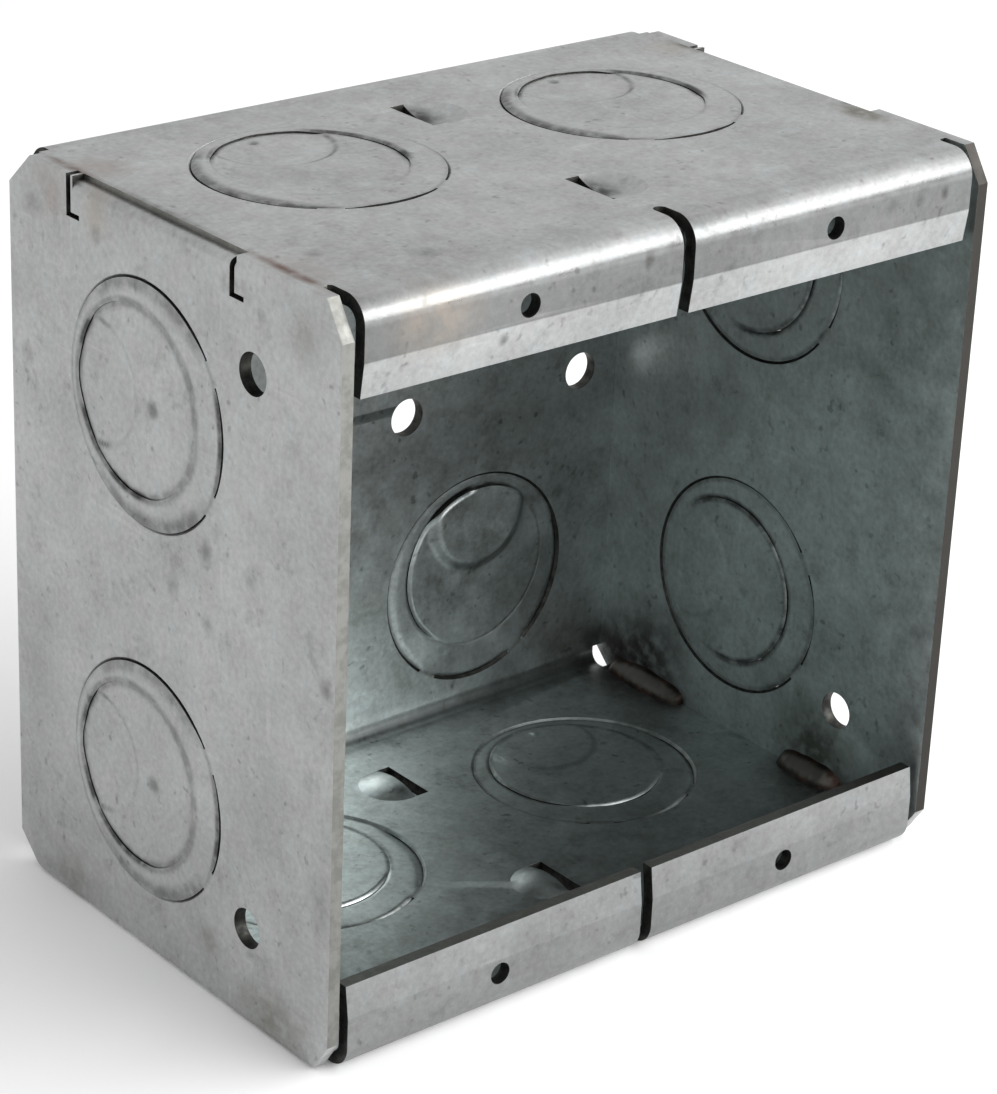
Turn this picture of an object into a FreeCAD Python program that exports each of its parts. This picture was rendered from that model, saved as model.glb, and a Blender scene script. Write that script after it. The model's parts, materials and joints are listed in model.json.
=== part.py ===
"""Two-gang masonry box of galvanised sheet steel, for two switches or sockets side by side.

One wrap of sheet makes the top, back, bottom and the four front flanges. Two flat end plates are
welded to it. Ten double knockouts, each a ring and a disc inside it, close the conduit holes.
Frame: millimetres, X across the two gangs, -Y out of the open front, +Z up, and the origin under
the middle of the box, on the plane that it stands on.
"""
import FreeCAD, Part
import math
import os
from FreeCAD import Vector

# Outside of the box and its sheet
WIDTH = 96.84            # 3-13/16 in
HEIGHT = 93.66           # 3-11/16 in
DEPTH = 63.5             # 2-1/2 in
SHEET = 1.6              # 16 gauge steel
BEND_INSIDE = 1.6        # inside radius of the wrap's four bends

# Front flanges and the slits between them
FLANGE_UPRIGHT = 7.05    # part of the flange in the front plane, measured from the panel's outside
FLANGE_DROP = 11.15      # whole flange, from the panel's outside to its free edge
LIP_SET_IN = 0.55        # how far the flange's free edge leans into the box
SLIT_WIDTH = 1.8         # slit between the two gangs' flanges
END_GAP = 1.3            # gap between a flange's end and the end plate
SLIT_DEPTH = 6.0         # how far the slits run back from the front
DEVICE_PITCH_X = 46.04   # gang spacing, 1-13/16 in
DEVICE_PITCH_Z = 83.34   # device screw spacing, 3-9/32 in
DEVICE_HOLE_D = 2.8      # tapped for 6-32 screws

# End plates: corners, slits in the top edge, and screw holes
BACK_CORNER = (4.4, 4.2)    # cut back along Y and Z
FRONT_CORNER = (2.8, 4.3)
HOOK_SLIT_Y = (18.5, -13.1)
HOOK_SLIT_WIDTH = 0.9
HOOK_SLIT_HEIGHT = 5.0
HOOK_FOOT = (2.6, 0.6)      # the slit's foot: along the plate, and its height
TOP_SET_BACK = 0.7          # top edge between the slits sits this much below the panel
BOTTOM_SET_BACK = 0.45      # bottom edge outside them sits this much above the underside
EDGE_ROUND = 1.0
SIDE_HOLE_D = 5.0
SIDE_HOLE_Y = -16.2
SIDE_HOLE_PITCH = 68.46

# Fillet welds inside the box
WELDS = ((19.8, 14.4), (-12.7, 11.0))   # middle along Y, and length
WELD_LEG = 2.5
WELD_CROWN = 0.35           # how far the bead's face stands out from flat

CORNER_RELIEF = (1.4, 3.9)  # notch at each end of a back bend: across, and round the bend

# Partition holders along the middle: a slot, with the sheet beside it pressed into the box
BOTTOM_HOLDER_Y = (17.4, -13.8)
TOP_HOLDER_Y = (15.5, -16.9)
HOLDER_SLOT = (2.2, 8.5)    # slot from X = 0: across, and along the box
HOLDER_REACH = 5.0          # how far the pressed part reaches from the slot
HOLDER_RISE = 0.9
HOLDER_WALL = 1.3

# Back wall screw holes
WALL_HOLE_D = 5.2
WALL_HOLE_X = (10.4, 40.3)

# Knockouts: an inner disc set off-centre in a ring
RING_D = 29.4               # hole for 3/4 in conduit
DISC_D = 23.0               # hole for 1/2 in conduit
DISC_OFFSET = 1.75
SHEAR_GAP = 0.12
EDGE_GROOVE = 0.42          # rolled edge along a shear line: half width and depth
RING_TIE_ANGLE = 32.0       # each side of the side opposite the disc's tie
TIE_HALF_ANGLE = 6.0
CRESCENT_RADIUS = 7.6       # curved tool mark on the disc, and its centre's distance from the disc's
CRESCENT_SHIFT = 7.7
MARK_DEPTH = 0.22
PUNCH_MARK_RADIUS = 0.7
SIDE_KNOCKOUT_Y = 4.1
SIDE_KNOCKOUT_PITCH = 47.6
PANEL_KNOCKOUT_Y = 6.1
BACK_KNOCKOUT_Z = 20.7

OVER = 1.0                  # how far a cutting tool runs past the metal

HALF_W = WIDTH / 2
HALF_D = DEPTH / 2
MID_Z = HEIGHT / 2
WRAP_END = HALF_W - SHEET
FRONT = -HALF_D

X = Vector(1, 0, 0)
Y = Vector(0, 1, 0)
Z = Vector(0, 0, 1)


def box(low, high):
    """A block between two corners."""
    size = [b - a for a, b in zip(low, high)]
    return Part.makeBox(size[0], size[1], size[2], Vector(*low))


def cylinder(centre, axis, diameter, length):
    """A cylinder that is centred on the point given."""
    start = centre - axis * (length / 2)
    return Part.makeCylinder(diameter / 2, length, start, axis)


def prism(points, direction):
    """A flat outline pushed along a vector."""
    corners = [Vector(*point) for point in points]
    outline = Part.makePolygon(corners + corners[:1])
    return Part.Face(outline).extrude(direction)


def mirrored(shape, axis):
    """The shape's mirror image in the box's middle plane across an axis."""
    return shape.mirror(Vector(0, 0, MID_Z), axis)


def edges_along(shape, direction, test):
    """The straight edges that run along a direction and pass a test of their midpoint."""
    found = []
    for edge in shape.Edges:
        along = edge.tangentAt(edge.FirstParameter)
        middle = edge.valueAt((edge.FirstParameter + edge.LastParameter) / 2)
        if abs(along.dot(direction)) > 0.999 and test(middle):
            found.append(edge)
    return found


class Knockout:
    """A sheared ring and disc in one wall.

    centre is the ring's, on the wall's outside; normal points out of the box; tie points from
    the ring's centre to the side where the disc hangs on its tie.
    """

    def __init__(self, name, wall, centre, normal, tie):
        self.name = name
        self.wall = wall
        self.centre = centre
        self.normal = normal
        self.tie = tie
        self.disc_centre = centre + tie * DISC_OFFSET

    def plug(self, centre, diameter):
        """A full-thickness round of the wall."""
        return Part.makeCylinder(diameter / 2, SHEET, centre - self.normal * SHEET, self.normal)

    def groove(self, centre, diameter, tie_angles):
        """Rolled edges along a shear line on both faces, left out at the ties."""
        radius = (diameter - SHEAR_GAP) / 2
        side = self.normal.cross(self.tie)
        tools = []
        stops = sorted(tie_angles)
        for index, angle in enumerate(stops):
            following = stops[(index + 1) % len(stops)]
            sweep = (following - angle) % 360 or 360
            start = math.radians(angle + TIE_HALF_ANGLE)
            outward = self.tie * math.cos(start) + side * math.sin(start)
            for level, facing in ((0, 1), (-SHEET, -1)):
                rim = centre + outward * radius + self.normal * level
                bottom = rim - self.normal * (EDGE_GROOVE * facing)
                wide = EDGE_GROOVE
                points = [bottom, rim + outward * wide, rim - outward * wide]
                face = Part.Face(Part.makePolygon(points + points[:1]))
                turn = sweep - 2 * TIE_HALF_ANGLE
                tools.append(face.revolve(centre, self.normal, turn))
        return tools

    def grooves(self):
        """All the rolled edges of this knockout."""
        ring_ties = (180 - RING_TIE_ANGLE, 180 + RING_TIE_ANGLE)
        outer = self.groove(self.centre, RING_D, ring_ties)
        inner = self.groove(self.disc_centre, DISC_D, (0,))
        return outer + inner

    def opening(self):
        """What is cut from the wall."""
        start = self.centre - self.normal * (SHEET + OVER)
        return Part.makeCylinder(RING_D / 2, SHEET + 2 * OVER, start, self.normal)

    def ring(self):
        """The ring, with its rolled edges."""
        solid = self.plug(self.centre, RING_D - 2 * SHEAR_GAP)
        start = self.disc_centre - self.normal * (SHEET + OVER)
        hole = Part.makeCylinder(DISC_D / 2, SHEET + 2 * OVER, start, self.normal)
        return solid.cut([hole] + self.grooves())

    def disc(self):
        """The disc, with its rolled edge, the curved tool mark and a punch mark."""
        solid = self.plug(self.disc_centre, DISC_D - 2 * SHEAR_GAP)
        mark_centre = self.disc_centre + self.tie * CRESCENT_SHIFT
        marks = []
        for level in (0, -SHEET):
            middle = mark_centre + self.normal * level
            marks.append(Part.makeTorus(CRESCENT_RADIUS, MARK_DEPTH, middle, self.normal))
        punched = self.disc_centre - self.tie * (2 * DISC_OFFSET)
        marks.append(Part.makeSphere(PUNCH_MARK_RADIUS, punched + self.normal * MARK_DEPTH))
        return solid.cut(self.grooves() + marks)


def all_knockouts():
    """The ten knockouts: two in each end plate, and two each in the top, bottom and back."""
    made = []
    for side, sign in (("left", -1), ("right", 1)):
        for level, lift in (("upper", 1), ("lower", -1)):
            centre = Vector(sign * HALF_W, SIDE_KNOCKOUT_Y, MID_Z + lift * SIDE_KNOCKOUT_PITCH / 2)
            made.append(Knockout(f"{side}_{level}", side, centre, X * sign, Y))
        gang_x = sign * DEVICE_PITCH_X / 2
        top = Vector(gang_x, PANEL_KNOCKOUT_Y, HEIGHT)
        bottom = Vector(gang_x, PANEL_KNOCKOUT_Y, 0)
        back = Vector(gang_x, HALF_D, BACK_KNOCKOUT_Z)
        made.append(Knockout(f"top_{side}", "wrap", top, Z, Y))
        made.append(Knockout(f"bottom_{side}", "wrap", bottom, -Z, Y))
        made.append(Knockout(f"back_{side}", "wrap", back, Y, Z))
    return made


def wrap_tube():
    """Top, back, bottom and the upright parts of the front flanges."""
    outside = box((-WRAP_END, -HALF_D, 0), (WRAP_END, HALF_D, HEIGHT))
    outside = outside.makeFillet(BEND_INSIDE + SHEET, edges_along(outside, X, lambda p: True))
    inside = box((-HALF_W, SHEET - HALF_D, SHEET), (HALF_W, HALF_D - SHEET, HEIGHT - SHEET))
    inside = inside.makeFillet(BEND_INSIDE, edges_along(inside, X, lambda p: True))
    mouth = box((-HALF_W, FRONT - OVER, FLANGE_UPRIGHT), (HALF_W, 0, HEIGHT - FLANGE_UPRIGHT))
    return outside.cut([inside, mouth.cut(inside)])


def lower_lip():
    """The inner part of the lower flanges, which leans into the box."""
    foot = FRONT + LIP_SET_IN
    outline = [
        (-WRAP_END, FRONT, FLANGE_UPRIGHT),
        (-WRAP_END, foot, FLANGE_DROP),
        (-WRAP_END, foot + SHEET, FLANGE_DROP),
        (-WRAP_END, FRONT + SHEET, FLANGE_UPRIGHT),
    ]
    return prism(outline, X * (2 * WRAP_END))


def flange_slits():
    """The slit between the gangs and the gaps at the end plates, over the front bends."""
    back = FRONT + SLIT_DEPTH
    half = SLIT_WIDTH / 2
    tools = [
        box((-half, FRONT - OVER, -OVER), (half, back - half, HEIGHT + OVER)),
        cylinder(Vector(0, back - half, MID_Z), Z, SLIT_WIDTH, HEIGHT + 2 * OVER),
    ]
    inner = WRAP_END - END_GAP
    gap = box((inner, FRONT - OVER, -OVER), (WRAP_END + OVER, back, HEIGHT + OVER))
    gap = gap.makeFillet(END_GAP / 2, edges_along(gap, Z, lambda p: p.x < WRAP_END and p.y > FRONT))
    return tools + [gap, mirrored(gap, X)]


def device_holes():
    """Tapped holes for the device screws."""
    return [
        cylinder(Vector(sx * DEVICE_PITCH_X / 2, FRONT, MID_Z + sz * DEVICE_PITCH_Z / 2), Y,
                 DEVICE_HOLE_D, 4 * SHEET)
        for sx in (-1, 1) for sz in (-1, 1)
    ]


def wall_holes():
    """Screw holes across the back wall."""
    return [
        cylinder(Vector(sign * x, HALF_D, MID_Z), Y, WALL_HOLE_D, 4 * SHEET)
        for sign in (-1, 1) for x in WALL_HOLE_X
    ]


def corner_relief():
    """The notch at the right end of the lower back bend."""
    across, around = CORNER_RELIEF
    return box((WRAP_END - across, HALF_D - around, -OVER), (WRAP_END + OVER, HALF_D + OVER, around))


def in_all_corners(shapes):
    """The shapes, made for the lower right, mirrored to the four corners of the section."""
    lower = shapes + [mirrored(shape, X) for shape in shapes]
    return lower + [mirrored(shape, Z) for shape in lower]


def turned_over(shape):
    """The shape turned half a turn about the box's long middle line, from bottom to top."""
    return shape.copy().rotate(Vector(0, 0, MID_Z), Y, 180)


def holder(middle, inset):
    """The pressed cap of a partition holder on the bottom panel, inset from its upper face."""
    half_slot = HOLDER_SLOT[1] / 2
    plan_radius = (HOLDER_REACH ** 2 + half_slot ** 2) / (2 * HOLDER_REACH)
    ball_radius = (plan_radius ** 2 + HOLDER_RISE ** 2) / (2 * HOLDER_RISE)
    centre = Vector(plan_radius - HOLDER_REACH, middle, SHEET + HOLDER_RISE - ball_radius)
    ball = Part.makeSphere(ball_radius - inset, centre)
    beside = box((-ball_radius, middle - ball_radius, 0), (0, middle + ball_radius, ball_radius))
    return ball.common(beside)


def holder_slot(middle):
    """The slot of a partition holder, through the bottom panel."""
    across, along = HOLDER_SLOT
    return box((0, middle - along / 2, -OVER), (across, middle + along / 2, SHEET + OVER))


def make_wrap(knockouts):
    """The sheet that is bent round to top, back, bottom and flanges."""
    lip = lower_lip()
    wrap = wrap_tube().fuse([lip, mirrored(lip, Z)]).removeSplitter()
    reliefs = in_all_corners([corner_relief()])
    wrap = wrap.cut(flange_slits() + device_holes() + wall_holes() + reliefs)

    caps = [holder(middle, 0) for middle in BOTTOM_HOLDER_Y]
    caps += [turned_over(holder(middle, 0)) for middle in TOP_HOLDER_Y]
    openings = []
    for middle in BOTTOM_HOLDER_Y:
        openings += [holder(middle, HOLDER_WALL), holder_slot(middle)]
    for middle in TOP_HOLDER_Y:
        openings += [turned_over(holder(middle, HOLDER_WALL)), turned_over(holder_slot(middle))]
    wrap = wrap.fuse(caps).cut(openings)
    return cut_knockouts(wrap, knockouts, "wrap").removeSplitter()


def cut_knockouts(wall, knockouts, name):
    """Cut a wall's knockout holes and roll their edges."""
    for knockout in knockouts:
        if knockout.wall == name:
            wall = wall.cut([knockout.opening()] + knockout.grooves())
    return wall


def weld_bead(middle, length):
    """A fillet bead between the bottom panel and the right end plate."""
    start = middle - length / 2
    corner = Vector(WRAP_END, start, SHEET)
    on_panel = corner - X * WELD_LEG
    on_plate = corner + Z * WELD_LEG
    crown = (on_panel + on_plate) / 2 + (Z - X).normalize() * WELD_CROWN
    face = [
        Part.LineSegment(corner, on_panel).toShape(),
        Part.Arc(on_panel, crown, on_plate).toShape(),
        Part.LineSegment(on_plate, corner).toShape(),
    ]
    return Part.Face(Part.Wire(face)).extrude(Y * length)


def right_welds():
    """The four beads of the right end plate."""
    lower = [weld_bead(middle, length) for middle, length in WELDS]
    return lower + [mirrored(bead, Z) for bead in lower]


def hook_slit(middle):
    """An L-shaped slit in the right end plate's top edge, with its foot toward the front."""
    along, height = HOOK_FOOT
    start = middle + along / 2
    end = HEIGHT - HOOK_SLIT_HEIGHT
    upright = box((WRAP_END - OVER, start - HOOK_SLIT_WIDTH, end), (HALF_W + OVER, start, HEIGHT + OVER))
    foot = box((WRAP_END - OVER, start - along, end), (HALF_W + OVER, start, end + height))
    return upright.fuse(foot)


def make_right_plate(knockouts):
    """The right end plate."""
    back_y, back_z = BACK_CORNER
    front_y, front_z = FRONT_CORNER
    outline = [
        (WRAP_END, -HALF_D + front_y, 0),
        (WRAP_END, HALF_D - back_y, 0),
        (WRAP_END, HALF_D, back_z),
        (WRAP_END, HALF_D, HEIGHT - back_z),
        (WRAP_END, HALF_D - back_y, HEIGHT),
        (WRAP_END, -HALF_D + front_y, HEIGHT),
        (WRAP_END, -HALF_D, HEIGHT - front_z),
        (WRAP_END, -HALF_D, front_z),
    ]
    plate = prism(outline, X * SHEET)

    rear, fore = HOOK_SLIT_Y
    inner, outer = WRAP_END - OVER, HALF_W + OVER
    set_backs = [
        box((inner, fore, HEIGHT - TOP_SET_BACK), (outer, rear, HEIGHT + OVER)),
        box((inner, -HALF_D - OVER, -OVER), (outer, fore, BOTTOM_SET_BACK)),
        box((inner, rear, -OVER), (outer, HALF_D + OVER, BOTTOM_SET_BACK)),
    ]
    plate = plate.cut(set_backs)
    rounded = edges_along(plate, Y, lambda p: p.x > (WRAP_END + HALF_W) / 2 and fore < p.y < rear)
    plate = plate.makeFillet(EDGE_ROUND, rounded)

    slits = [hook_slit(middle) for middle in HOOK_SLIT_Y]
    holes = [
        cylinder(Vector(HALF_W, SIDE_HOLE_Y, MID_Z + lift * SIDE_HOLE_PITCH / 2), X,
                 SIDE_HOLE_D, 4 * SHEET)
        for lift in (-1, 1)
    ]
    plate = plate.cut(slits + holes)
    return cut_knockouts(plate, knockouts, "right")


def save(name, shape):
    """Write one node, and say what it holds."""
    shape.exportStep(f"parts/{name}.step")
    print(f"{name}: {len(shape.Solids)} solids, {shape.Volume:.1f} mm3, valid {shape.isValid()}")


def main():
    os.makedirs("parts", exist_ok=True)
    knockouts = all_knockouts()
    save("body_wrap", make_wrap(knockouts))
    right_plate = make_right_plate(knockouts)
    save("right_end_plate", right_plate)
    save("left_end_plate", mirrored(right_plate, X))
    beads = right_welds()
    save("right_seam_welds", Part.makeCompound(beads))
    save("left_seam_welds", Part.makeCompound([mirrored(bead, X) for bead in beads]))
    for knockout in knockouts:
        save(f"{knockout.name}_knockout_ring", knockout.ring())
        save(f"{knockout.name}_knockout_disc", knockout.disc())


main()
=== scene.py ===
"""Looks of a two-gang masonry box: worn galvanised sheet, sheared knockouts and fillet welds.

Every visible piece is a mesh that is made here and stands for one CAD piece. Lengths are in metres.
"""
import json
import math

import bmesh
import bpy
from mathutils import Matrix, Vector, noise


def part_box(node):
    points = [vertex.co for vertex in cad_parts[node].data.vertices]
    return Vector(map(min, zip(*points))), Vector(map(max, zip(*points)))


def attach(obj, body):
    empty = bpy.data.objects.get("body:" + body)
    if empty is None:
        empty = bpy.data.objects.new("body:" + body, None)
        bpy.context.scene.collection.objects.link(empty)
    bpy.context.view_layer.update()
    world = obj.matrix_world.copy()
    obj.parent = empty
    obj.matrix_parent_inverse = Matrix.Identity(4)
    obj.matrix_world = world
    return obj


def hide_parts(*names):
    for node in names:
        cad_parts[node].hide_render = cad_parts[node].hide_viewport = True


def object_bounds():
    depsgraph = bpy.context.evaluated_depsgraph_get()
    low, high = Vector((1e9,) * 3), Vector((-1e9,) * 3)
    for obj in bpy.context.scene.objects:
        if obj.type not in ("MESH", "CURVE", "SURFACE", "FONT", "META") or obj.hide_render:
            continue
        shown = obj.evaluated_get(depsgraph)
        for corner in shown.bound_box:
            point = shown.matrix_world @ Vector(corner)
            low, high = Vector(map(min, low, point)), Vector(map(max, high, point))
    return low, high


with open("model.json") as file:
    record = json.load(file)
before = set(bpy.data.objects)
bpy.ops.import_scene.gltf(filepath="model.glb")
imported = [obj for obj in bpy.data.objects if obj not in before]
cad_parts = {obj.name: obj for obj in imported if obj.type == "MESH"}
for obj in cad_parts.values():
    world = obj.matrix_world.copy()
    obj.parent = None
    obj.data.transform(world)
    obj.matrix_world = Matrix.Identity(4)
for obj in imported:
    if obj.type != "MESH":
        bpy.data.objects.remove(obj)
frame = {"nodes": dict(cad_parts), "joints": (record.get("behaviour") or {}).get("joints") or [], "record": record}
cad_low, cad_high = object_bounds()

MM = 0.001

# Sizes that the CAD source drives
SHEET = 1.6 * MM
BEND_OUTSIDE = 2 * SHEET    # outer radius of the wrap's bends
RING_RADIUS = 14.7 * MM
DISC_RADIUS = 11.5 * MM
SHEAR_GAP = 0.12 * MM
FLANGE_UPRIGHT = 7.05 * MM
FLANGE_DROP = 11.15 * MM
LIP_SET_IN = 0.55 * MM
WELD_LEG = 2.5 * MM
HOLDERS_MM = (17.4, -13.8)  # the two partition holders in the bottom panel, along Y

# The knockouts as they show
SEEN_GAP = 0.05 * MM        # a shear line that stands open, narrower than the CAD's clearance
RING_LIFT = 0.18 * MM       # a ring stands this proud of the wall, away from its ties
RING_TIE_ANGLE = math.radians(32)       # of a ring's two ties, from the far side of the disc's tie
TIE_HALF_ANGLE = math.radians(6)
CRESCENT_RADIUS = 7.6 * MM  # the round tool's mark on a disc, and how far off the middle it is
CRESCENT_SHIFT = 7.7 * MM

HALF_WIDTH = cad_high.x
HALF_DEPTH = cad_high.y
HEIGHT = cad_high.z
MIDDLE = HEIGHT / 2
UP = Vector((0, 0, 1))
X, Y, Z = range(3)

# Mesh work
EDGE_ROUND = 0.16 * MM      # rounding of the sheet's cut edges
SHARP = math.radians(60)    # edges at least this sharp are rounded
CREASE = math.radians(35)   # edges at least this sharp break the shading
FLAT_CREASE = math.radians(8)   # the same, beside a wide flat face
WIDE_FACE = 60 * MM ** 2
SAME_PLACE = 0.001 * MM     # points this close are one point
GRIME_AND_SHADE = "grime_and_shade"             # the float attribute that carries how much a mesh is darkened: soiling and painted shade at the knockouts, and a weld's toes, away from the painted highlight on its crest
TURN_STEPS = 168            # columns round a knockout
RIM_WIDTH = 0.8 * MM        # rolled rim of a knockout's hole
TIE_OVERLAP = 0.02 * MM     # how far a tie runs into the metal that it hangs on


def smooth(value, low, high):
    """0 below low, 1 above high, and smooth between them."""
    share = min(1.0, max(0.0, (value - low) / (high - low)))
    return share * share * (3 - 2 * share)


# ---------------------------------------------------------------- materials


class Tree:
    """One material's node tree, with short forms for its nodes."""

    def __init__(self, name):
        self.material = bpy.data.materials.new(name)
        self.material.use_nodes = True
        self.nodes = self.material.node_tree.nodes
        self.links = self.material.node_tree.links
        self.nodes.clear()
        self.shader = self.add("BsdfPrincipled", {})
        output = self.add("OutputMaterial", {})
        self.links.new(self.shader.outputs[0], output.inputs["Surface"])
        place = self.add("TexCoord", {}).outputs["Object"]
        self.place = self.vector("SCALE", place, scale=1 / MM)
        self.axes = self.add("SeparateXYZ", {0: self.place}).outputs

    def add(self, kind, inputs, **settings):
        """A node, with its settings, and with its inputs set or linked."""
        node = self.nodes.new("ShaderNode" + kind)
        for key, value in settings.items():
            setattr(node, key, value)
        for key, value in inputs.items():
            self.feed(node.inputs[key], value)
        return node

    def feed(self, socket, value):
        """Set an input, or link it if the value is another node's output."""
        if isinstance(value, bpy.types.NodeSocket):
            self.links.new(value, socket)
        else:
            socket.default_value = value

    def math(self, operation, a, b=0.0):
        """A sum on two numbers."""
        return self.add("Math", {0: a, 1: b}, operation=operation).outputs[0]

    def vector(self, operation, a, b=(0, 0, 0), scale=1.0):
        """A sum on two vectors; a distance comes out as a number."""
        node = self.add("VectorMath", {0: a}, operation=operation)
        self.feed(node.inputs["Scale"] if operation == "SCALE" else node.inputs[1],
                  scale if operation == "SCALE" else b)
        return node.outputs["Value" if operation in ("DISTANCE", "LENGTH") else "Vector"]

    def step(self, value, low, high, bottom=0.0, top=1.0):
        """The value mapped smoothly from low..high to bottom..top."""
        return self.line(value, low, high, bottom, top, "SMOOTHSTEP")

    def line(self, value, low, high, bottom=0.0, top=1.0, shape="LINEAR"):
        """The value mapped straight from low..high to bottom..top."""
        inputs = {"Value": value, "From Min": low, "From Max": high,
                  "To Min": bottom, "To Max": top}
        return self.add("MapRange", inputs, interpolation_type=shape).outputs[0]

    def noise(self, size, detail=3.0, stretch=(1, 1, 1), seed=0.0, rough=0.55):
        """Noise whose blotches are about size millimetres across."""
        place = self.vector("MULTIPLY", self.place, tuple(s / size for s in stretch))
        place = self.vector("ADD", place, (seed, seed * 1.7, seed * 0.6))
        inputs = {"Vector": place, "Scale": 1.0, "Detail": detail, "Roughness": rough}
        return self.add("TexNoise", inputs).outputs[0]

    def mix(self, share, a, b, blend="MIX"):
        """Two colours mixed."""
        node = self.add("Mix", {}, data_type="RGBA", blend_type=blend)
        self.feed(node.inputs[0], share)
        self.feed(node.inputs[6], a)
        self.feed(node.inputs[7], b)
        return node.outputs[2]

    def near(self, middle, reach, squash=(1, 1, 1)):
        """1 at a point given in millimetres, and 0 beyond its reach in millimetres."""
        here = self.vector("MULTIPLY", self.place, squash)
        there = tuple(m * s for m, s in zip(middle, squash))
        distance = self.vector("DISTANCE", here, there)
        return self.step(distance, 0.0, reach, 1.0, 0.0)

    def zone(self, steps):
        """1 in a zone and 0 outside; a step is (axis, where it is 0, where it is 1)."""
        share = 1.0
        for axis, off, on in steps:
            share = self.math("MULTIPLY", self.line(self.axes[axis], off, on), share)
        return share


def rgba(r, g, b):
    """A colour with full alpha."""
    return (r, g, b, 1.0)


def bump(tree, layers):
    """Bump from several heights, each with its depth in millimetres."""
    normal = None
    for height, depth in layers:
        inputs = {"Height": height, "Distance": depth * MM, "Strength": 1.0}
        if normal is not None:
            inputs["Normal"] = normal
        normal = tree.add("Bump", inputs).outputs[0]
    tree.feed(tree.shader.inputs["Normal"], normal)


OFF_WALL = 0.1              # how much less a line fades off its wall than across it


def circle_line(tree, axis, middle, radius, width):
    """A soft line along a circle on the wall that is normal to an axis."""
    flat = tuple(0 if axis == other else 1 for other in (X, Y, Z))
    here = tree.vector("MULTIPLY", tree.place, flat)
    distance = tree.vector("DISTANCE", here, tuple(m * f for m, f in zip(middle, flat)))
    off_line = tree.math("SUBTRACT", distance, radius)
    off_wall = tree.math("SUBTRACT", tree.axes[axis], middle[axis])
    off_wall = tree.math("MULTIPLY", off_wall, OFF_WALL)
    off = tree.vector("LENGTH", tree.add("CombineXYZ", {0: off_line, 1: off_wall}).outputs[0])
    return tree.step(off, 0.0, width, 1.0, 0.0)


def darkened(tree, shade, mask, strength):
    """A shade lowered by a mask."""
    return tree.math("MULTIPLY", shade, tree.line(mask, 0.0, 1.0, 1.0, 1.0 - strength))


def galvanised(name, tone, roughness, contrast, lines, line_strength, light_zones, stains_and_painted_light):
    """Zinc-coated sheet: cloudy tone, fine grain, specks, scuffs, areas of painted light and shade, darkening that
    is partly soiling and partly painted shade, and stained patches, some of them painted highlights and shadows.
    """
    tree = Tree(name)
    clouds = tree.noise(13, 4.0, seed=1.3)
    blotches = tree.noise(3.2, 3.0, seed=4.1)
    grain = tree.noise(0.8, 3.0, seed=7.7, rough=0.65)
    fine = tree.noise(0.22, 2.0, seed=9.2)

    value = tree.line(clouds, 0.3, 0.7, -0.5, 0.5)
    value = tree.math("ADD", value, tree.line(blotches, 0.3, 0.7, -0.5, 0.5))
    value = tree.math("ADD", value, tree.line(grain, 0.3, 0.7, -0.45, 0.45))
    shade = tree.math("ADD", tree.math("MULTIPLY", value, contrast), 1.0)

    patches = tree.noise(7.0, 2.0, seed=12.4)
    specks = tree.step(tree.noise(1.3, 1.5, seed=3.3), 0.62, 0.74)
    specks = tree.math("MULTIPLY", specks, tree.step(patches, 0.40, 0.60))
    shade = darkened(tree, shade, specks, 1.3 * contrast)
    smears = tree.step(tree.noise(5.0, 4.0, seed=15.9, rough=0.7), 0.55, 0.74)
    shade = darkened(tree, shade, smears, 0.8 * contrast)

    scratches = (((0.05, 0.9, 1.0), 21.0), ((0.9, 0.06, 1.0), 25.0), ((1.0, 0.8, 0.05), 29.0))
    for stretch, seed in scratches:
        scratch = tree.step(tree.noise(0.8, 1.0, stretch, seed), 0.66, 0.73)
        where = tree.step(tree.noise(9, 1.0, seed=seed), 0.52, 0.66)
        scratch = tree.math("MULTIPLY", scratch, where)
        shade = tree.math("ADD", shade, tree.math("MULTIPLY", scratch, 0.08))

    rough = tree.line(blotches, 0.3, 0.7, roughness - 0.05, roughness + 0.05)
    rough = tree.math("ADD", rough, tree.math("MULTIPLY", smears, 0.08))
    # areas of painted light and shade: each multiplies the shade and takes off roughness
    for steps, brightness, gloss in light_zones:
        mask = tree.zone(steps)
        shade = darkened(tree, shade, mask, 1.0 - brightness)
        rough = tree.math("SUBTRACT", rough, tree.math("MULTIPLY", mask, gloss))

    broken = tree.step(tree.noise(2.2, 3.0, seed=33.0), 0.28, 0.62, 0.4, 1.0)
    # the mesh's darkening attribute and the rings' outlines darken the sheet: soiling along the shear lines, and
    # painted shade
    marks = tree.add("Attribute", {}, attribute_name=GRIME_AND_SHADE).outputs["Fac"]
    for line in lines:
        outline = tree.math("MULTIPLY", circle_line(tree, *line), line_strength)
        marks = tree.math("MAXIMUM", marks, outline)
    marks = tree.math("MULTIPLY", marks, broken)
    shade = darkened(tree, shade, marks, 0.72)
    rough = tree.math("ADD", rough, tree.math("MULTIPLY", marks, 0.25))

    cooler = rgba(*(t * k for t, k in zip(tone, (0.93, 0.95, 0.96))))
    colour = tree.mix(tree.step(blotches, 0.35, 0.65), rgba(*tone), cooler)
    bright = tree.add("CombineColor", {0: shade, 1: shade, 2: shade}).outputs[0]
    colour = tree.mix(1.0, colour, bright, "MULTIPLY")
    for middle, reach, squash, patch, strength in stains_and_painted_light:
        mask = tree.math("MULTIPLY", tree.near(middle, reach, squash), broken)
        colour = tree.mix(tree.math("MULTIPLY", mask, strength), colour, rgba(*patch))

    tree.feed(tree.shader.inputs["Base Color"], colour)
    tree.shader.inputs["Metallic"].default_value = 1.0
    tree.feed(tree.shader.inputs["Roughness"], rough)
    waves = tree.noise(14, 2.0, seed=52.0)
    bump(tree, [(waves, 0.05), (blotches, 0.022), (grain, 0.02), (fine, 0.006)])
    return tree.material


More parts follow.
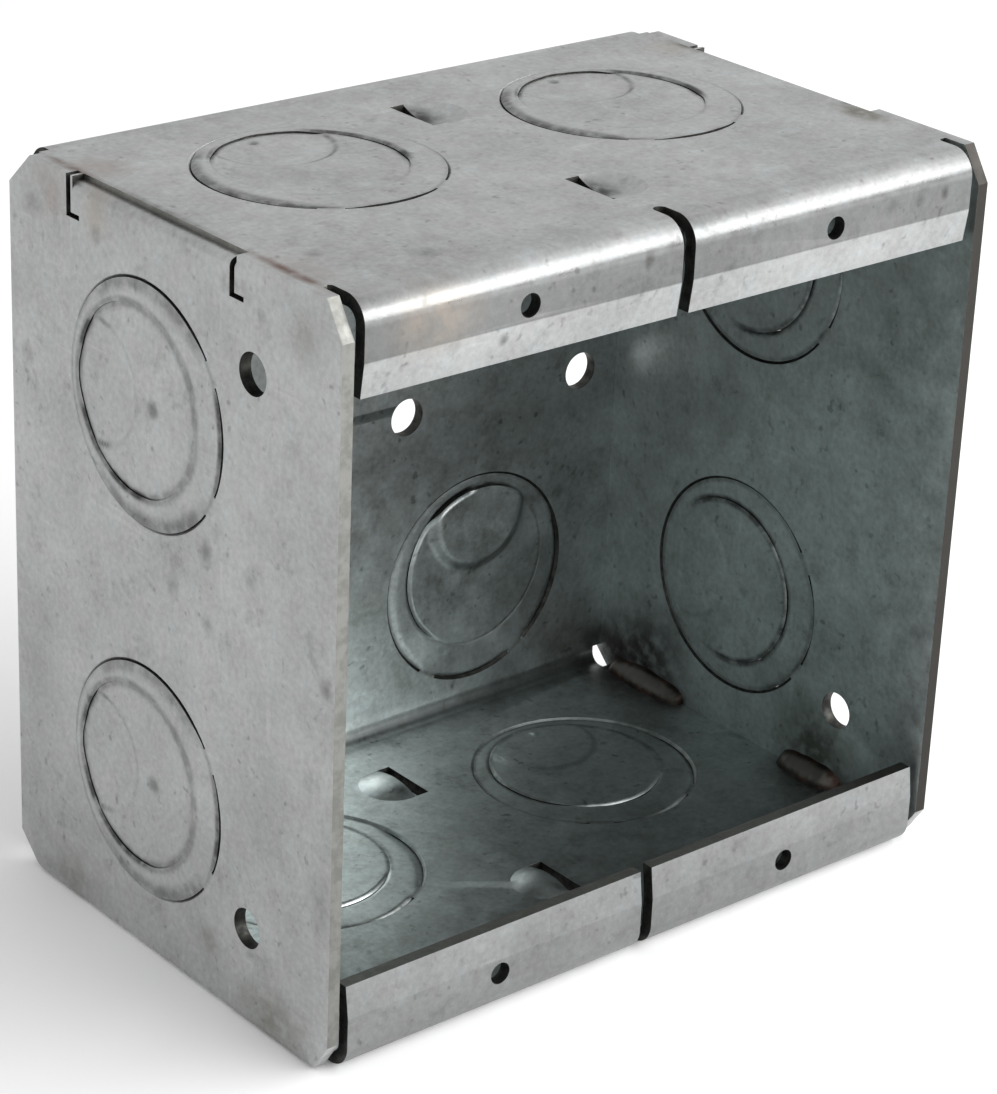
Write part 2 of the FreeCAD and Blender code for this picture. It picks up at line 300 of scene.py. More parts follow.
def cut_edge():
    """The sheared edge of the sheet: clean and dull patches, and painted shade that makes it dark on the right of
    the box.
    """
    tree = Tree("cut_edge")
    wear = tree.noise(1.6, 3.0, seed=2.0)
    grain = tree.noise(0.25, 2.0, seed=5.0)
    clean, dull = rgba(0.27, 0.27, 0.255), rgba(0.21, 0.21, 0.195)
    colour = tree.mix(tree.step(wear, 0.35, 0.65), clean, dull)
    # painted shade: the edge turns dark towards the right of the box
    colour = tree.mix(tree.line(tree.axes[X], 20, 40), colour, rgba(0.05, 0.047, 0.043))
    tree.feed(tree.shader.inputs["Base Color"], colour)
    tree.shader.inputs["Metallic"].default_value = 1.0
    tree.feed(tree.shader.inputs["Roughness"], tree.line(wear, 0.3, 0.7, 0.4, 0.55))
    bump(tree, [(wear, 0.03), (grain, 0.01)])
    return tree.material


def shaded_shear_edge():
    """Near-black metal for the sheared faces: what the shear tore in the knockouts' shear lines and the walls of
    holes and slots, with painted shade for the shadow there.
    """
    tree = Tree("shaded_shear_edge")
    wear = tree.noise(1.1, 3.0, seed=8.0)
    shaded_metal, black = rgba(0.06, 0.06, 0.055), rgba(0.03, 0.03, 0.028)
    colour = tree.mix(tree.step(wear, 0.3, 0.7), shaded_metal, black)
    tree.feed(tree.shader.inputs["Base Color"], colour)
    tree.shader.inputs["Metallic"].default_value = 1.0
    tree.feed(tree.shader.inputs["Roughness"], tree.line(wear, 0.3, 0.7, 0.45, 0.65))
    bump(tree, [(wear, 0.05)])
    return tree.material


def weld_metal():
    """A smooth bead with a painted highlight along its crest, and dark with brown heat colours at its toes."""
    tree = Tree("weld_bead_metal")
    heat = tree.noise(2.6, 2.0, seed=6.0)
    scale = tree.noise(0.9, 3.0, seed=14.0)
    toes = tree.add("Attribute", {}, attribute_name=GRIME_AND_SHADE).outputs["Fac"]
    toes = tree.math("ADD", toes, tree.line(scale, 0.3, 0.7, -0.1, 0.1))
    black, brown = rgba(0.030, 0.025, 0.022), rgba(0.065, 0.038, 0.032)
    dark = tree.mix(tree.step(heat, 0.4, 0.6), black, brown)
    # painted highlight: the lighter colour along the crest, away from the toes
    colour = tree.mix(tree.step(toes, 0.1, 0.75), rgba(0.17, 0.16, 0.145), dark)
    tree.feed(tree.shader.inputs["Base Color"], colour)
    tree.shader.inputs["Metallic"].default_value = 1.0
    tree.feed(tree.shader.inputs["Roughness"], tree.line(scale, 0.3, 0.7, 0.4, 0.55))
    bump(tree, [(scale, 0.03)])
    return tree.material


def floor_paint():
    """Pale, plain floor with a trace of unevenness."""
    tree = Tree("floor_paint")
    cloud = tree.noise(120, 2.0, seed=1.0)
    colour = tree.mix(cloud, rgba(0.93, 0.93, 0.93), rgba(0.95, 0.95, 0.95))
    tree.feed(tree.shader.inputs["Base Color"], colour)
    tree.shader.inputs["Roughness"].default_value = 0.9
    tree.shader.inputs["Specular IOR Level"].default_value = 0.2
    return tree.material


# ---------------------------------------------------------------- meshes


def finish_piece(name, mesh, body, node, materials):
    """Link a mesh as a piece that rides on a body and stands for a CAD node."""
    piece = bpy.data.objects.new(name, mesh)
    bpy.context.scene.collection.objects.link(piece)
    for material in materials:
        mesh.materials.append(material)
    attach(piece, body)
    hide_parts(node)
    return piece


def cleaned(node):
    """A CAD node's mesh with its triangles merged back into plain faces."""
    mesh = bmesh.new()
    mesh.from_mesh(frame["nodes"][node].data)
    bmesh.ops.remove_doubles(mesh, verts=mesh.verts, dist=SAME_PLACE)
    bmesh.ops.dissolve_limit(mesh, angle_limit=math.radians(1), verts=mesh.verts, edges=mesh.edges)
    return mesh


def round_edges(mesh):
    """Round the sharp outer edges of a sheet."""
    edges = [e for e in mesh.edges if len(e.link_faces) == 2 and e.is_convex
             and e.calc_face_angle() > SHARP]
    bmesh.ops.bevel(mesh, geom=edges, offset=EDGE_ROUND, offset_type="OFFSET", segments=2,
                    profile=0.5, affect="EDGES", clamp_overlap=True)


def shaded(mesh, name):
    """The bmesh as a smooth-shaded mesh that breaks at its creases."""
    for face in mesh.faces:
        face.smooth = True
    for edge in mesh.edges:
        wide = max((face.calc_area() for face in edge.link_faces), default=0) > WIDE_FACE
        limit = FLAT_CREASE if wide else CREASE
        if len(edge.link_faces) == 2 and edge.calc_face_angle() > limit:
            edge.smooth = False
    made = bpy.data.meshes.new(name)
    mesh.to_mesh(made)
    mesh.free()
    return made


OUTSIDE, INSIDE, CUT, SHEAR = range(4)      # the material slots of every piece of sheet

# How much of a face's normal has to lie along an axis
TOWARDS, HALFWAY, MAINLY = 0.3, 0.5, 0.9
ON_SURFACE = 0.06 * MM      # this close to the sheet's surface counts as on it


def depth_in_wrap(point):
    """How deep a point lies below the wrap's outside surface."""
    depth = min(HALF_DEPTH - abs(point.y), MIDDLE - abs(point.z - MIDDLE))
    from_panel = MIDDLE - abs(point.z - MIDDLE)
    in_lip = point.y < -HALF_DEPTH + BEND_OUTSIDE and from_panel > FLANGE_UPRIGHT
    if in_lip:
        share = (from_panel - FLANGE_UPRIGHT) / (FLANGE_DROP - FLANGE_UPRIGHT)
        depth -= LIP_SET_IN * share
    if abs(point.y) > HALF_DEPTH - BEND_OUTSIDE and from_panel < BEND_OUTSIDE:
        across = abs(point.y) - (HALF_DEPTH - BEND_OUTSIDE)
        above = BEND_OUTSIDE - from_panel
        depth = BEND_OUTSIDE - math.hypot(across, above)
    return depth


def wrap_slot(face):
    """The material slot of one of the wrap's faces."""
    centre, normal = face.calc_center_median(), face.normal
    from_panel = MIDDLE - abs(centre.z - MIDDLE)
    on_panel = from_panel < 2.5 * SHEET and abs(centre.y) < HALF_DEPTH - BEND_OUTSIDE
    if on_panel and abs(normal.z) > TOWARDS:
        return OUTSIDE if normal.z * (centre.z - MIDDLE) > 0 else INSIDE
    depth = depth_in_wrap(centre)
    if abs(normal.x) < HALFWAY and depth < ON_SURFACE:
        return OUTSIDE
    if abs(normal.x) < HALFWAY and depth > SHEET - ON_SURFACE:
        return INSIDE
    lip_end = from_panel > FLANGE_DROP - ON_SURFACE and centre.y < -HALF_DEPTH + BEND_OUTSIDE
    panel_end = abs(centre.x) > HALF_WIDTH - 1.5 * SHEET and centre.y > 2.5 * SHEET - HALF_DEPTH
    return CUT if lip_end or panel_end else SHEAR


def plate_slot(face):
    """The material slot of one of an end plate's faces."""
    centre, normal = face.calc_center_median(), face.normal
    outward = normal.x * math.copysign(1, centre.x)
    if outward > MAINLY:
        return OUTSIDE
    if outward < -MAINLY:
        return INSIDE
    in_long_edge = abs(centre.z - MIDDLE) > MIDDLE - SHEET
    if in_long_edge and max(outward, abs(normal.z)) > TOWARDS:
        return OUTSIDE
    at_front = centre.y < 2.5 * SHEET - HALF_DEPTH
    return CUT if at_front and normal.y < -TOWARDS else SHEAR


def in_rim(face, knockout):
    """Whether a face lies in the outer half of a knockout hole's rolled rim."""
    away = face.calc_center_median() - knockout["centre"]
    depth = -away.dot(knockout["normal"])
    radius = (away + knockout["normal"] * depth).length
    return abs(radius - RING_RADIUS) < RIM_WIDTH and -SHEET / 2 < depth < SHEET / 2


def make_sheet(node, body, slot_of, knockouts, materials):
    """A wrap or end plate with rounded cut edges."""
    mesh = cleaned(node)
    round_edges(mesh)
    for face in mesh.faces:
        face.material_index = slot_of(face)
        if face.material_index == SHEAR and any(in_rim(face, knockout) for knockout in knockouts):
            face.material_index = OUTSIDE
    return finish_piece(node + "_skin", shaded(mesh, node), body, node, materials)


# How the knockouts look in each wall. Depths and sizes are in metres, and arcs in degrees from the
# disc's tie. "roll" is how deep the rolled edges drop, and "soft" how much wider the ring's outer
# one is at its sides. "press" is how deep the crescent tool went in, over "press_edge" at its
# outline. "punch" is a punch mark: its place along and across, its size and its depth. "ring_line"
# and "disc_line" say where the shear lines stand open (middle, half-width). Each side of the sheet
# has its darkening, soiling along the shear lines and painted shade such as the wide arcs at a
# ring's sides: arcs (middle, half-width, reach in millimetres, strength) on ring and disc, and
# "marks", its strength at the crescent's ends, all along the crescent, and at the punch mark.
PLATE_LOOK = {
    "roll": 0.22 * MM, "soft": 1.6, "press": 0.14 * MM, "press_edge": 0.5 * MM,
    "punch": (-3.3 * MM, 0.0, 1.3 * MM, 0.16 * MM),
    "ring_line": ((180, 24),), "disc_line": ((58, 44), (-26, 16)),
    "outside": {"ring": ((180, 26, 0.7, 1.0), (98, 44, 2.4, 0.6), (-95, 44, 2.4, 0.5),
                         (0, 180, 0.5, 0.3)),
                "disc": ((58, 44, 0.8, 1.0), (-26, 16, 0.7, 1.0), (0, 180, 1.1, 0.5)),
                "marks": (0.8, 0.15, 0.6)},
    "inside": {"ring": ((-150, 40, 0.8, 0.8), (0, 180, 0.9, 0.5)), "disc": ((165, 115, 0.9, 1.0),),
               "marks": (0.3, 0.2, 0.3)},
}
PANEL_LOOK = {
    "roll": 0.25 * MM, "soft": 0.8, "press": 0.25 * MM, "press_edge": 0.6 * MM,
    "punch": (9.6 * MM, 1.2 * MM, 0.9 * MM, 0.3 * MM),
    "ring_line": ((95, 56),), "disc_line": ((-75, 40), (45, 8)),
    "outside": {"ring": ((92, 52, 2.2, 0.75), (118, 34, 1.0, 1.0), (0, 180, 0.4, 0.2)),
                "disc": ((-75, 44, 1.0, 1.0), (45, 12, 0.8, 0.9), (0, 180, 0.4, 0.2)),
                "marks": (0.7, 0.7, 0.9)},
    "inside": {"ring": ((0, 180, 0.5, 0.4),), "disc": ((0, 180, 0.5, 0.4),),
               "marks": (0.2, 0.2, 0.0)},
}
LOOKS = {
    "left": PLATE_LOOK,
    "right": PLATE_LOOK | {"ring_line": ((-150, 30),), "disc_line": ((165, 110),)},
    "top": PANEL_LOOK,
    "bottom": PANEL_LOOK | {
        "roll": 0.32 * MM, "soft": 1.2,
        "ring_line": ((130, 50),), "disc_line": ((180, 38), (-68, 14)),
        "inside": {"ring": ((0, 180, 0.6, 0.7),), "disc": ((0, 130, 0.8, 0.7),),
                   "marks": (0.0, 0.3, 0.0)},
    },
    "back": {
        "roll": 0.32 * MM, "soft": 1.2, "press": 0.8 * MM, "press_edge": 1.0 * MM,
        "punch": (-3.3 * MM, 0.0, 1.3 * MM, 0.0),
        "ring_line": ((180, 112),), "disc_line": ((-70, 72),),
        "outside": {"ring": ((0, 180, 0.6, 0.4),), "disc": ((0, 180, 0.6, 0.4),),
                    "marks": (0.4, 0.2, 0.0)},
        "inside": {"ring": ((0, 60, 0.6, 0.6),), "disc": ((90, 80, 0.6, 0.6),),
                   "marks": (0.0, 0.0, 0.0)},
    },
}
SHUT_ROLL = 0.2             # how much of its rolled edge a shear line keeps where it is shut
TIE_FADE = (0.75, 1.35)     # where a tie starts and stops to fade, as shares of its half angle
LIFT_SPREAD = 3.0           # how much further than a tie the rise to a ring's lift reaches
ARC_FADE = 10             # degrees over which an arc of darkening fades
ARC_CORE = 0.3            # the share of its reach that the darkening fills
OPEN_FADE = 8               # degrees over which a shear line closes
DISC_DOME = 0.1 * MM
DISC_RISE = (0.2, 1.0)      # where a disc rises to its ring's lift, as shares of its radius
CRESCENT_ENDS = (1.5 * MM, 3.5 * MM)
CRESCENT_WIDTH = 0.55 * MM


def find_knockouts():
    """Where the ten knockouts are, from the record's mounts and joints."""
    joints = {joint["name"]: joint for joint in frame["joints"]}
    found = []
    for mount in frame["record"]["mounts"]:
        if not mount["name"].endswith("_conduit"):
            continue
        name = mount["name"].removesuffix("_conduit")
        centre = Vector(mount["pos_m"])
        normal = Vector(mount["axis"])
        hinge = Vector(joints[name + "_disc_bend"]["pos_m"]) - centre
        hinge -= normal * hinge.dot(normal)
        tie = hinge.normalized()
        shift = hinge.length + SHEAR_GAP - DISC_RADIUS
        axis = max((X, Y, Z), key=lambda a: abs(normal[a]))
        found.append({"name": name, "centre": centre, "normal": normal, "tie": tie, "axis": axis,
                      "side": normal.cross(tie), "shift": shift,
                      "look": LOOKS[name.split("_")[0]]})
    return found


def tie_share(angle, ties, spread=1.0):
    """1 on a tie, 0 away from it."""
    nearest = min(abs(math.remainder(angle - tie, math.tau)) for tie in ties)
    solid, gone = TIE_FADE
    return 1 - smooth(nearest, TIE_HALF_ANGLE * solid, TIE_HALF_ANGLE * gone * spread)


def arc_grime_and_shade(angle, distance, arcs):
    """Darkening, soiling and painted shade, at a distance from a shear line; arcs are (middle, half-width, reach,
    strength).
    """
    grime_and_shade = 0.0
    for middle, half, reach, strength in arcs:
        off = abs(math.remainder(angle - math.radians(middle), math.tau))
        along = 1 - smooth(off, math.radians(half - ARC_FADE), math.radians(half + ARC_FADE))
        away = 1 - smooth(distance, ARC_CORE * reach * MM, reach * MM)
        grime_and_shade = max(grime_and_shade, strength * along * away)
    return grime_and_shade


def open_share(angle, arcs):
    """1 where a shear line stands open, 0 where it is shut."""
    off = [abs(math.remainder(angle - math.radians(middle), math.tau)) - math.radians(half)
           for middle, half in arcs]
    return 1 - smooth(min(off), -math.radians(OPEN_FADE), math.radians(OPEN_FADE))


def line_gap(opened, tied):
    """How far a piece's edge keeps from the metal round it, which it runs into where it's shut."""
    share = opened * (1 - tied)
    return SEEN_GAP * share - TIE_OVERLAP * (1 - share)


def line_roll(opened, tied):
    """The share of its rolled edge that a piece has."""
    return (SHUT_ROLL + (1 - SHUT_ROLL) * opened) * (1 - tied)


def rolled(distance, width, depth):
    """How far a rolled edge drops at a distance from it."""
    return depth * max(0.0, 1 - distance / width) ** 2


def place_of(knockout, along, across, level):
    """A point from its place in a knockout's own axes."""
    return (knockout["centre"] + knockout["tie"] * along + knockout["side"] * across
            + knockout["normal"] * level)


def skin_columns(name, columns, strips, closed):
    """A mesh from columns of (point, darkening) round a turn: closed, or between two shared poles."""
    mesh = bmesh.new()
    grime_and_shade = mesh.verts.layers.float.new(GRIME_AND_SHADE)

    def vertex(spot):
        made = mesh.verts.new(spot[0])
        made[grime_and_shade] = spot[1]
        return made

    last = len(columns[0]) - 1
    poles = {} if closed else {0: vertex(columns[0][0]), last: vertex(columns[0][last])}
    grid = [[poles.get(row) or vertex(spot) for row, spot in enumerate(column)]
            for column in columns]
    for here, following in zip(grid, grid[1:] + grid[:1]):
        for row in range(last + 1 if closed else last):
            above = (row + 1) % (last + 1)
            corners = dict.fromkeys([here[row], here[above], following[above], following[row]])
            mesh.faces.new(corners).material_index = strips[row]
    bmesh.ops.recalc_face_normals(mesh, faces=mesh.faces)
    return shaded(mesh, name)


WALL_TIES = (math.pi - RING_TIE_ANGLE, math.pi + RING_TIE_ANGLE)
ROLL_WIDTH = 0.5 * MM       # of a ring's rolled edges where they are narrowest


def ring_roll(look, angle, from_disc, from_wall):
    """How far a ring's face drops at its rolled edges."""
    at_wall = line_roll(open_share(angle, look["ring_line"]), tie_share(angle, WALL_TIES))
    at_disc = line_roll(open_share(angle, look["disc_line"]), tie_share(angle, (0,)))
    soft = math.sin(angle) ** 2
    wide = rolled(from_wall, ROLL_WIDTH + look["soft"] * soft * MM, look["roll"]) * at_wall
    return wide + rolled(from_disc, ROLL_WIDTH, look["roll"]) * at_disc


RING_ROWS = 22


def make_ring(knockout, materials):
    """A knockout's ring with rolled edges, joined smoothly to the wall at its two ties."""
    look = knockout["look"]
    shares = [0.5 - 0.5 * math.cos(math.pi * i / RING_ROWS) for i in range(RING_ROWS + 1)]
    columns = []
    for turn in range(TURN_STEPS):
        angle = math.tau * turn / TURN_STEPS
        along, across = math.cos(angle), math.sin(angle)
        tied = tie_share(angle, WALL_TIES)
        lift = RING_LIFT * (1 - tie_share(angle, WALL_TIES, LIFT_SPREAD))
        outer = RING_RADIUS - line_gap(open_share(angle, look["ring_line"]), tied)
        inner_edge = (knockout["shift"] + DISC_RADIUS * along, DISC_RADIUS * across)
        outer_edge = (outer * along, outer * across)
        width = math.hypot(outer_edge[0] - inner_edge[0], outer_edge[1] - inner_edge[1])
        column = []
        for level, facing, side in ((0, 1, "outside"), (-SHEET, -1, "inside")):
            for share in shares[::facing]:
                from_disc, from_wall = share * width, (1 - share) * width
                drop = ring_roll(look, angle, from_disc, from_wall)
                x = inner_edge[0] + (outer_edge[0] - inner_edge[0]) * share
                y = inner_edge[1] + (outer_edge[1] - inner_edge[1]) * share
                grime_and_shade = max(arc_grime_and_shade(angle, from_wall, look[side]["ring"]),
                            arc_grime_and_shade(angle, from_disc, look[side]["disc"]))
                column.append((place_of(knockout, x, y, level + lift - facing * drop), grime_and_shade))
        columns.append(column)
    strips = [OUTSIDE] * RING_ROWS + [SHEAR] + [INSIDE] * RING_ROWS + [SHEAR]
    node = knockout["name"] + "_knockout_ring"
    mesh = skin_columns(node, columns, strips, True)
    return finish_piece(node + "_skin", mesh, knockout["name"] + "_ring", node,
                        materials)


DISC_ROWS = 26              # from the middle to the edge strip
DISC_EDGE_ROWS = 8          # across the edge strip
DISC_EDGE = 0.93            # the share of the radius where the edge strip starts
DISC_ROLL_WIDTH = 0.55 * MM


def disc_marks(look, side, along, across, from_edge):
    """The tool marks on a disc: how far they press it in, and how much they darken it."""
    from_tool = math.hypot(along - CRESCENT_SHIFT, across) - CRESCENT_RADIUS
    edge = look["press_edge"]
    press = look["press"] * (1 - smooth(from_tool, -edge, edge))
    punch_along, punch_across, size, depth = look["punch"]
    from_punch = math.hypot(along - punch_along, across - punch_across)
    press += depth * (1 - smooth(from_punch, 0, size))
    ends, all_round, smudge = look[side]["marks"]
    near_edge = 1 - smooth(from_edge, *CRESCENT_ENDS)
    crescent = 1 - smooth(abs(from_tool), 0, CRESCENT_WIDTH)
    crescent *= max(ends * near_edge, all_round)
    return press, max(crescent, smudge * (1 - smooth(from_punch, 0.3 * size, 1.2 * size)))


def make_disc(knockout, materials):
    """A knockout's disc with a rolled edge, tool marks and a slight dome."""
    look = knockout["look"]
    shares = [DISC_EDGE * i / DISC_ROWS for i in range(DISC_ROWS)]
    shares += [DISC_EDGE + (1 - DISC_EDGE) * i / DISC_EDGE_ROWS for i in range(DISC_EDGE_ROWS + 1)]
    columns = []
    for turn in range(TURN_STEPS):
        angle = math.tau * turn / TURN_STEPS
        tied = tie_share(angle, (0,))
        opened = open_share(angle, look["disc_line"])
        radius = DISC_RADIUS - line_gap(opened, tied)
        roll = look["roll"] * line_roll(opened, tied)
        column = []
        for level, facing, side in ((0, 1, "outside"), (-SHEET, -1, "inside")):
            for share in shares[::facing]:
                along = share * radius * math.cos(angle)
                across = share * radius * math.sin(angle)
                from_edge = (1 - share) * radius
                press, marks = disc_marks(look, side, along, across, from_edge)
                height = level + DISC_DOME * (1 - share ** 2) - press
                height += RING_LIFT * smooth(along / DISC_RADIUS, *DISC_RISE)
                height -= facing * rolled(from_edge, DISC_ROLL_WIDTH, roll)
                grime_and_shade = max(marks, arc_grime_and_shade(angle, from_edge, look[side]["disc"]))
                place = place_of(knockout, knockout["shift"] + along, across, height)
                column.append((place, grime_and_shade))
        columns.append(column)
    rows = len(shares) - 1
    strips = [OUTSIDE] * rows + [SHEAR] + [INSIDE] * rows
    node = knockout["name"] + "_knockout_disc"
    mesh = skin_columns(node, columns, strips, False)
    return finish_piece(node + "_skin", mesh, knockout["name"] + "_disc", node,
                        materials)


def make_welds(node, materials):
    """Fillet beads in the corners between an end plate and the wrap."""
    low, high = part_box(node)
    side = math.copysign(1, low.x + high.x)
    mesh = bmesh.new()
    source = bmesh.new()
    source.from_mesh(frame["nodes"][node].data)
    bmesh.ops.remove_doubles(source, verts=source.verts, dist=SAME_PLACE)
    starts = sorted({(round(v.co.y, 5), v.co.z > MIDDLE) for v in source.verts})
    source.free()
    # Along Y: the first two are the ends of the front bead, and the last two of the rear one
    lower = [y for y, upper in starts if not upper]
    spans = [(lower[0], lower[1]), (lower[-2], lower[-1])]
    for start, end in spans:
        for upper in (False, True):
            add_bead(mesh, side, start, end, upper)
    return finish_piece(node + "_skin", shaded(mesh, node), "box", node, materials)


BEAD_STEPS = 64             # sections along a bead
BEAD_ARC = 14               # points over its face
BEAD_BULGE = 0.34           # how far its face bulges, in millimetres
BEAD_RIPPLE = 0.02          # how much its ripples and lumps change that
BEAD_LUMPS = 0.06
RIPPLE_PITCH = 1.3 * MM


def add_bead(mesh, side, start, end, upper):
    """One bead: a convex fillet that tapers at its ends, with faint ripples along its length."""
    grime_and_shade = mesh.verts.layers.float.get(GRIME_AND_SHADE) or mesh.verts.layers.float.new(GRIME_AND_SHADE)
    corner_z = HEIGHT - SHEET if upper else SHEET
    corner = Vector((side * (HALF_WIDTH - SHEET), 0, corner_z))
    lift = -1 if upper else 1
    seed = Vector((start * 900, side * 3.1, lift * 5.3))
    columns = []
    for step in range(BEAD_STEPS + 1):
        share = step / BEAD_STEPS
        y = start + (end - start) * share
        taper = math.sqrt(max(0.0, 1 - abs(2 * share - 1) ** 3))
        uneven = 0.93 + 0.12 * noise.noise(seed + Vector((share * 4, 0, 0)))
        leg = WELD_LEG * (0.3 + 0.7 * taper) * uneven
        column = []
        for point in range(BEAD_ARC + 1):
            turn = point / BEAD_ARC
            bulge = math.sin(math.pi * turn)
            ripple = math.sin((y / RIPPLE_PITCH + 0.4 * bulge) * math.tau)
            lumps = noise.noise(seed + Vector((share * 7, turn * 2, 0)))
            depth = (BEAD_BULGE + BEAD_RIPPLE * ripple + BEAD_LUMPS * lumps) * MM
            rise = bulge * taper * depth * math.sqrt(0.5)
            out = Vector((-side * (leg * (1 - turn) + rise), y, lift * (leg * turn + rise)))
            # the darkening is 0 on the crest, where the weld's material paints its highlight, and 1 at the toes
            column.append((corner + out, 1 - bulge * taper))
        column.append((Vector((corner.x, y, corner_z)), 1.0))
        columns.append([])
        for place, off_crest in column:
            columns[-1].append(mesh.verts.new(place))
            columns[-1][-1][grime_and_shade] = off_crest
    faces = [mesh.faces.new(columns[0]), mesh.faces.new(columns[-1])]
    rows = len(columns[0])
    for here, following in zip(columns, columns[1:]):
        for row in range(rows):
            above = (row + 1) % rows
            corners = [here[row], here[above], following[above], following[row]]
            faces.append(mesh.faces.new(corners))
    bmesh.ops.recalc_face_normals(mesh, faces=faces)


# ---------------------------------------------------------------- the studio

FLOOR_HALF = 3.0
FLOOR_DROP = 0.02 * MM      # the floor lies this much below the box
LIGHT_FROM, LIGHT_AWAY, LIGHT_SIZE, LIGHT_WATTS = (0.62, -0.66, 0.50), 0.8, (1.3, 0.6), 10.0
WORLD_SEEN, WORLD_CAST = 1.0, 0.75

# The camera: degrees round the box, up and rolled; its distance from the box's middle, and how far
# it slides to its own right and rises
AZIMUTH, ELEVATION, ROLL = -40.667, 24.280, 2.463
DISTANCE, SLIDE, RISE = 423.31 * MM, 0.693 * MM, -4.165 * MM
SENSOR_WIDTH, FOCAL_LENGTH = 36, 113.65


def add_floor():
    """A wide pale floor that the box stands on."""
    far = FLOOR_HALF
    mesh = bpy.data.meshes.new("floor")
    corners = [(-far, -far, 0), (far, -far, 0), (far, far, 0), (-far, far, 0)]
    mesh.from_pydata(corners, [], [(0, 1, 2, 3)])
    mesh.materials.append(floor_paint())
    floor = bpy.data.objects.new("floor", mesh)
    floor.location.z = -FLOOR_DROP
    bpy.context.scene.collection.objects.link(floor)


def add_light(name, direction, distance, size, power):
    """A soft light panel that faces the box."""
    light = bpy.data.lights.new(name, "AREA")
    light.shape = "RECTANGLE"
    light.size, light.size_y = size
    light.energy = power
    lamp = bpy.data.objects.new(name, light)
    lamp.location = Vector((0, 0, MIDDLE)) + Vector(direction).normalized() * distance
    lamp.rotation_euler = Vector(direction).to_track_quat("Z", "Y").to_euler()
    bpy.context.scene.collection.objects.link(lamp)


def add_world(seen, cast):
    """White surroundings: one strength as a backdrop and one as a light."""
    world = bpy.data.worlds.new("studio")
    world.use_nodes = True
    nodes = world.node_tree.nodes
    background = nodes["Background"]
    path = nodes.new("ShaderNodeLightPath")
    strength = nodes.new("ShaderNodeMix")
    strength.inputs[2].default_value = cast
    strength.inputs[3].default_value = seen
    world.node_tree.links.new(path.outputs["Is Camera Ray"], strength.inputs[0])
    world.node_tree.links.new(strength.outputs[0], background.inputs["Strength"])
    background.inputs["Color"].default_value = rgba(1, 1, 1)
    bpy.context.scene.world = world


def add_camera():
    """The viewing angle: from the front left and above, with a slight roll."""
    azimuth, elevation, roll = (math.radians(angle) for angle in (AZIMUTH, ELEVATION, ROLL))
    back = Vector((math.sin(azimuth) * math.cos(elevation),
                   -math.cos(azimuth) * math.cos(elevation), math.sin(elevation)))
    level_right = (-back).cross(UP).normalized()
    level_up = level_right.cross(-back)
    right = level_right * math.cos(roll) + level_up * math.sin(roll)
    up = level_up * math.cos(roll) - level_right * math.sin(roll)
    place = Vector((0, 0, MIDDLE)) + back * DISTANCE + right * SLIDE + up * RISE
    data = bpy.data.cameras.new("camera")
    data.sensor_width = SENSOR_WIDTH
    data.lens = FOCAL_LENGTH
    data.clip_start = 0.01
    data.clip_end = 20
    camera = bpy.data.objects.new("camera", data)
    turn = Matrix((right, up, back)).transposed().to_4x4()
    camera.matrix_world = Matrix.Translation(place) @ turn
    bpy.context.scene.collection.objects.link(camera)
    bpy.context.scene.camera = camera


# ---------------------------------------------------------------- wear, stains, and painted light and shade

# Colours of the bare zinc, of the zinc with painted light for the inner faces, of its stains, and of painted
# glints and shadows
ZINC = (0.48, 0.485, 0.48)
# the inner faces' zinc, brighter and bluer than outside: a painted tint of the light inside the box
INNER_ZINC_PAINTED_LIGHT = (0.57, 0.61, 0.60)
PLATE_INNER_ZINC_PAINTED_LIGHT = (0.56, 0.61, 0.60)
BROWN = (0.16, 0.115, 0.10)
RUST = (0.13, 0.06, 0.04)
SOOT_AND_SHADE = (0.05, 0.048, 0.043)
TAN = (0.40, 0.34, 0.28)
OLIVE = (0.13, 0.115, 0.075)
PINK = (0.36, 0.30, 0.28)
PAINTED_SHADOW = (0.03, 0.03, 0.028)
HEAT = (0.05, 0.034, 0.032)
SCORCH = (0.075, 0.07, 0.048)
PAINTED_GLINT = (0.95, 0.98, 0.97)

# Places in the tables below are in millimetres, as in the materials
SIDE, BACK, TOP = HALF_WIDTH / MM, HALF_DEPTH / MM, HEIGHT / MM
FRONT, CREASE_LINE, BEND = -BACK, FLANGE_UPRIGHT / MM, BEND_OUTSIDE / MM
SEAM = SIDE - SHEET / MM
ON_FLOOR = SHEET / MM + 0.5
OUTLINE_WIDTH = 0.6

# Zones of painted light and shade: (steps, what the shade is multiplied by, what is taken off the roughness)
UPPER_LIP = (Z, TOP - CREASE_LINE + 0.1, TOP - CREASE_LINE - 0.1)
LOWER_LIP = (Z, CREASE_LINE - 0.1, CREASE_LINE + 0.1)
UPPER_BEND = ((Z, TOP - BEND, TOP - 2.6), (Z, TOP - 0.9, TOP - 1.5))
OUTER_PAINTED_LIGHT = [
    # painted shade on the upper and lower flanges, then painted light on their lips
    (((Y, FRONT + 2.2, FRONT + 0.6), (Z, 45, 50)), 0.42, 0.0),
    (((Y, FRONT + 2.2, FRONT + 0.6), (Z, 50, 45)), 0.60, 0.0),
    (((Y, FRONT + 1.6, FRONT + 1.5), UPPER_LIP, (Z, 40, 45)), 2.0, 0.0),
    (((Y, FRONT + 1.6, FRONT + 1.5), LOWER_LIP, (Z, 45, 40)), 1.12, 0.0),
    # a painted highlight and lower roughness on the upper front bend, and a painted darker reflection on the top
    # panel beside it
    (((Y, FRONT + 1.6, FRONT + 0.8), *UPPER_BEND), 1.25, 0.2),
    (((Y, FRONT + 9, FRONT + BEND), (Z, TOP - 1, TOP - 0.5)), 0.94, 0.0),
]
